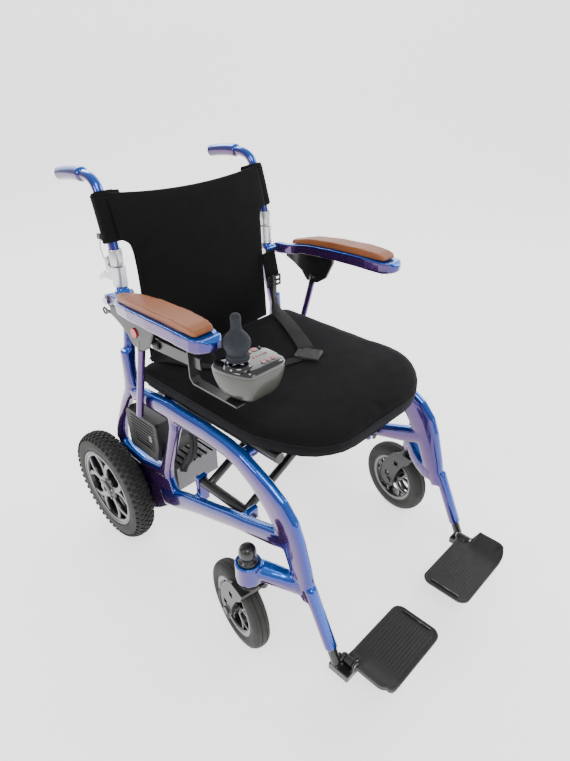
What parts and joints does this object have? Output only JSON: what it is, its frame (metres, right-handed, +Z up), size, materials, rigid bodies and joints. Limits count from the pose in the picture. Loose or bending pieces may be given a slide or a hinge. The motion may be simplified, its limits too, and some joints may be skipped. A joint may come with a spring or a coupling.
{
  "type": "power wheelchair",
  "caption": "Folding power wheelchair with cast colour-shift side frames, cross brace, hub-motor rear wheels, casters, flip-up armrests and footplates, and a side joystick.",
  "frame": {"origin": "on the floor under the middle of the overall box, in the middle plane between the two side frames", "axes": "+X towards the user's left, -Y towards the front of the chair, +Z up"},
  "size_m": [0.667, 0.992, 0.9354],
  "materials": {
    "flip_paint": "gloss colour-shift blue to violet",
    "silver_paint": "satin silver",
    "black_paint": "satin black",
    "steel": "brushed",
    "tan_leather": "smooth padded",
    "red_plastic": "gloss",
    "motor_black": "satin",
    "rim_black": "satin",
    "tyre_grey": "matte",
    "fork_grey": "satin",
    "black_plastic": "textured",
    "controller_alloy": "anodised",
    "black_fabric": "woven",
    "olive_plastic": "fine texture",
    "gloss_black": "gloss",
    "knob_rubber": "matte",
    "cable_black": "matte",
    "webbing": "woven webbing"
  },
  "bodies": {
    "right_frame": {"right_side_frame": "flip_paint", "right_fold_pin": "steel", "right_back_hinge": "silver_paint", "right_motor": "motor_black", "right_caster_housing": "black_paint", "controller_box": "controller_alloy", "back_lower": "black_fabric"},
    "left_frame": {"left_side_frame": "flip_paint", "left_fold_pin": "steel", "left_back_hinge": "silver_paint", "left_motor": "motor_black", "left_caster_housing": "black_paint"},
    "arm_a": {"cross_arm_a": "black_paint", "cross_bolts": "steel"},
    "arm_b": {"cross_arm_b": "black_paint"},
    "seat": {"seat_cushion": "black_fabric", "lap_belt": "webbing", "belt_buckle": "black_plastic"},
    "battery": {"battery_box": "black_plastic", "battery_cover": "black_plastic"},
    "right_back": {"right_back_cane": "flip_paint", "right_hand_grip": "flip_paint", "back_upper": "black_fabric"},
    "left_back": {"left_back_cane": "flip_paint", "left_hand_grip": "flip_paint"},
    "right_back_lever": {"right_back_lever": "silver_paint"},
    "right_armrest_pin": {"right_armrest_pin": "steel"},
    "right_armrest": {"right_armrest_arm": "flip_paint", "right_armrest_bracket": "black_paint", "right_armrest_pad": "tan_leather", "joystick_bracket": "black_paint", "joystick_case": "olive_plastic", "joystick_cover": "gloss_black", "control_cable": "cable_black"},
    "right_armrest_latch": {"right_armrest_latch": "red_plastic"},
    "right_wheel": {"right_wheel_rim": "rim_black", "right_wheel_tyre": "tyre_grey"},
    "right_caster_fork": {"right_caster_fork": "fork_grey"},
    "right_footplate_pin": {"right_footplate_pin": "steel"},
    "right_caster_wheel": {"right_caster_rim": "rim_black", "right_caster_tyre": "tyre_grey"},
    "right_hanger": {"right_footrest_hanger": "black_paint"},
    "right_footplate": {"right_footplate": "black_plastic"},
    "left_back_lever": {"left_back_lever": "silver_paint"},
    "left_armrest_pin": {"left_armrest_pin": "steel"},
    "left_armrest": {"left_armrest_arm": "flip_paint", "left_armrest_bracket": "black_paint", "left_armrest_pad": "tan_leather"},
    "left_armrest_latch": {"left_armrest_latch": "red_plastic"},
    "left_wheel": {"left_wheel_rim": "rim_black", "left_wheel_tyre": "tyre_grey"},
    "left_caster_fork": {"left_caster_fork": "fork_grey"},
    "left_footplate_pin": {"left_footplate_pin": "steel"},
    "left_caster_wheel": {"left_caster_rim": "rim_black", "left_caster_tyre": "tyre_grey"},
    "left_hanger": {"left_footrest_hanger": "black_paint"},
    "left_footplate": {"left_footplate": "black_plastic"},
    "joystick_gimbal": {"joystick_gimbal": "steel"},
    "joystick_knob": {"joystick_knob": "knob_rubber"},
    "joystick_buttons": {"joystick_buttons": "red_plastic"}
  },
  "joints": [
    {"name": "fold", "type": "hinge", "parent": "right_frame", "child": "arm_a", "pos_m": [-0.207, 0.301, 0.275], "axis": [0, -1, 0], "range_deg": [0, 44], "deforming": ["seat_cushion", "back_lower", "back_upper", "lap_belt"]},
    {"name": "cross_pivot", "type": "hinge", "parent": "arm_a", "child": "arm_b", "pos_m": [0, 0.301, 0.3765], "axis": [0, -1, 0], "range_deg": [-88, 0]},
    {"name": "left_lower_pivot", "type": "hinge", "parent": "arm_b", "child": "left_frame", "pos_m": [0.207, 0.301, 0.275], "axis": [0, -1, 0], "range_deg": [0, 44]},
    {"name": "seat_rail_pivot", "type": "hinge", "parent": "arm_a", "child": "seat", "pos_m": [0.207, 0.301, 0.478], "axis": [0, -1, 0], "range_deg": [-44, 0]},
    {"name": "right_back_fold", "type": "hinge", "parent": "right_frame", "child": "right_back", "pos_m": [-0.216, 0.288, 0.758], "axis": [-1, 0, 0], "range_deg": [0, 100]},
    {"name": "left_back_fold", "type": "hinge", "parent": "left_frame", "child": "left_back", "pos_m": [0.216, 0.288, 0.758], "axis": [-1, 0, 0], "range_deg": [0, 100]},
    {"name": "right_lever_press", "type": "hinge", "parent": "right_frame", "child": "right_back_lever", "pos_m": [-0.216, 0.304, 0.722], "axis": [-1, 0, 0], "range_deg": [0, 18], "stiffness_Nm_per_rad": 0.3},
    {"name": "right_armrest_lift", "type": "hinge", "parent": "right_frame", "child": "right_armrest_pin", "pos_m": [-0.23, 0.257, 0.684], "axis": [-1, 0, 0], "range_deg": [0, 100]},
    {"name": "right_armrest_flip", "type": "hinge", "parent": "right_armrest_pin", "child": "right_armrest", "pos_m": [-0.25, 0.257, 0.684], "axis": [-1, 0, 0], "range_deg": [0, 105]},
    {"name": "right_armrest_button", "type": "slide", "parent": "right_armrest", "child": "right_armrest_latch", "axis": [1, 0, 0], "range_m": [0, 0.002], "stiffness_N_per_m": 300},
    {"name": "right_wheel_spin", "type": "hinge", "parent": "right_frame", "child": "right_wheel", "pos_m": [-0.29, 0.344, 0.152], "axis": [1, 0, 0], "continuous": true},
    {"name": "right_caster_swivel", "type": "hinge", "parent": "right_frame", "child": "right_caster_fork", "pos_m": [-0.293, -0.19, 0.24], "axis": [0, 0, 1], "continuous": true},
    {"name": "right_caster_spin", "type": "hinge", "parent": "right_caster_fork", "child": "right_caster_wheel", "pos_m": [-0.28365, -0.1419, 0.1], "axis": [0.9816, -0.1908, 0], "continuous": true},
    {"name": "right_footrest_height", "type": "slide", "parent": "right_frame", "child": "right_hanger", "axis": [0, -0.4179, -0.9085], "range_m": [0, 0.03]},
    {"name": "right_footplate_lift", "type": "hinge", "parent": "right_hanger", "child": "right_footplate_pin", "pos_m": [-0.222, -0.395, 0.092], "axis": [0, -1, 0], "range_deg": [0, 72]},
    {"name": "right_footplate_flip", "type": "hinge", "parent": "right_footplate_pin", "child": "right_footplate", "pos_m": [-0.222, -0.395, 0.092], "axis": [0, -1, 0], "range_deg": [0, 95]},
    {"name": "left_lever_press", "type": "hinge", "parent": "left_frame", "child": "left_back_lever", "pos_m": [0.216, 0.304, 0.722], "axis": [-1, 0, 0], "range_deg": [0, 18], "stiffness_Nm_per_rad": 0.3},
    {"name": "left_armrest_lift", "type": "hinge", "parent": "left_frame", "child": "left_armrest_pin", "pos_m": [0.23, 0.257, 0.684], "axis": [-1, 0, 0], "range_deg": [0, 100]},
    {"name": "left_armrest_flip", "type": "hinge", "parent": "left_armrest_pin", "child": "left_armrest", "pos_m": [0.25, 0.257, 0.684], "axis": [-1, 0, 0], "range_deg": [0, 105]},
    {"name": "left_armrest_button", "type": "slide", "parent": "left_armrest", "child": "left_armrest_latch", "axis": [-1, 0, 0], "range_m": [0, 0.002], "stiffness_N_per_m": 300},
    {"name": "left_wheel_spin", "type": "hinge", "parent": "left_frame", "child": "left_wheel", "pos_m": [0.29, 0.344, 0.152], "axis": [1, 0, 0], "continuous": true},
    {"name": "left_caster_swivel", "type": "hinge", "parent": "left_frame", "child": "left_caster_fork", "pos_m": [0.293, -0.19, 0.24], "axis": [0, 0, 1], "continuous": true},
    {"name": "left_caster_spin", "type": "hinge", "parent": "left_caster_fork", "child": "left_caster_wheel", "pos_m": [0.30067, -0.1416, 0.1], "axis": [0.9877, -0.1564, 0], "continuous": true},
    {"name": "left_footrest_height", "type": "slide", "parent": "left_frame", "child": "left_hanger", "axis": [0, -0.4179, -0.9085], "range_m": [0, 0.03]},
    {"name": "left_footplate_lift", "type": "hinge", "parent": "left_hanger", "child": "left_footplate_pin", "pos_m": [0.222, -0.395, 0.092], "axis": [0, 1, 0], "range_deg": [0, 72]},
    {"name": "left_footplate_flip", "type": "hinge", "parent": "left_footplate_pin", "child": "left_footplate", "pos_m": [0.222, -0.395, 0.092], "axis": [0, 1, 0], "range_deg": [0, 95]},
    {"name": "battery_slide", "type": "slide", "parent": "right_frame", "child": "battery", "axis": [-1, 0, 0], "range_m": [0, 0.16]},
    {"name": "joystick_fore_aft", "type": "hinge", "parent": "right_armrest", "child": "joystick_gimbal", "pos_m": [-0.25, -0.149, 0.65], "axis": [1, 0, 0], "range_deg": [-8, 8], "stiffness_Nm_per_rad": 0.4},
    {"name": "joystick_side", "type": "hinge", "parent": "joystick_gimbal", "child": "joystick_knob", "pos_m": [-0.25, -0.149, 0.65], "axis": [0, 1, 0], "range_deg": [-8, 8], "stiffness_Nm_per_rad": 0.4},
    {"name": "joystick_button_press", "type": "slide", "parent": "right_armrest", "child": "joystick_buttons", "axis": [0, 0, -1], "range_m": [0, 0.001], "stiffness_N_per_m": 300}
  ],
  "couplings": [
    {"joint": "cross_pivot", "follows": "fold", "ratio": -2},
    {"joint": "left_lower_pivot", "follows": "fold", "ratio": 1},
    {"joint": "seat_rail_pivot", "follows": "fold", "ratio": -1},
    {"joint": "left_back_fold", "follows": "right_back_fold", "ratio": 1},
    {"joint": "right_armrest_lift", "follows": "fold", "ratio": 2.2727},
    {"joint": "right_footplate_lift", "follows": "fold", "ratio": 1.6364},
    {"joint": "left_armrest_lift", "follows": "fold", "ratio": 2.2727},
    {"joint": "left_footplate_lift", "follows": "fold", "ratio": 1.6364}
  ]
}
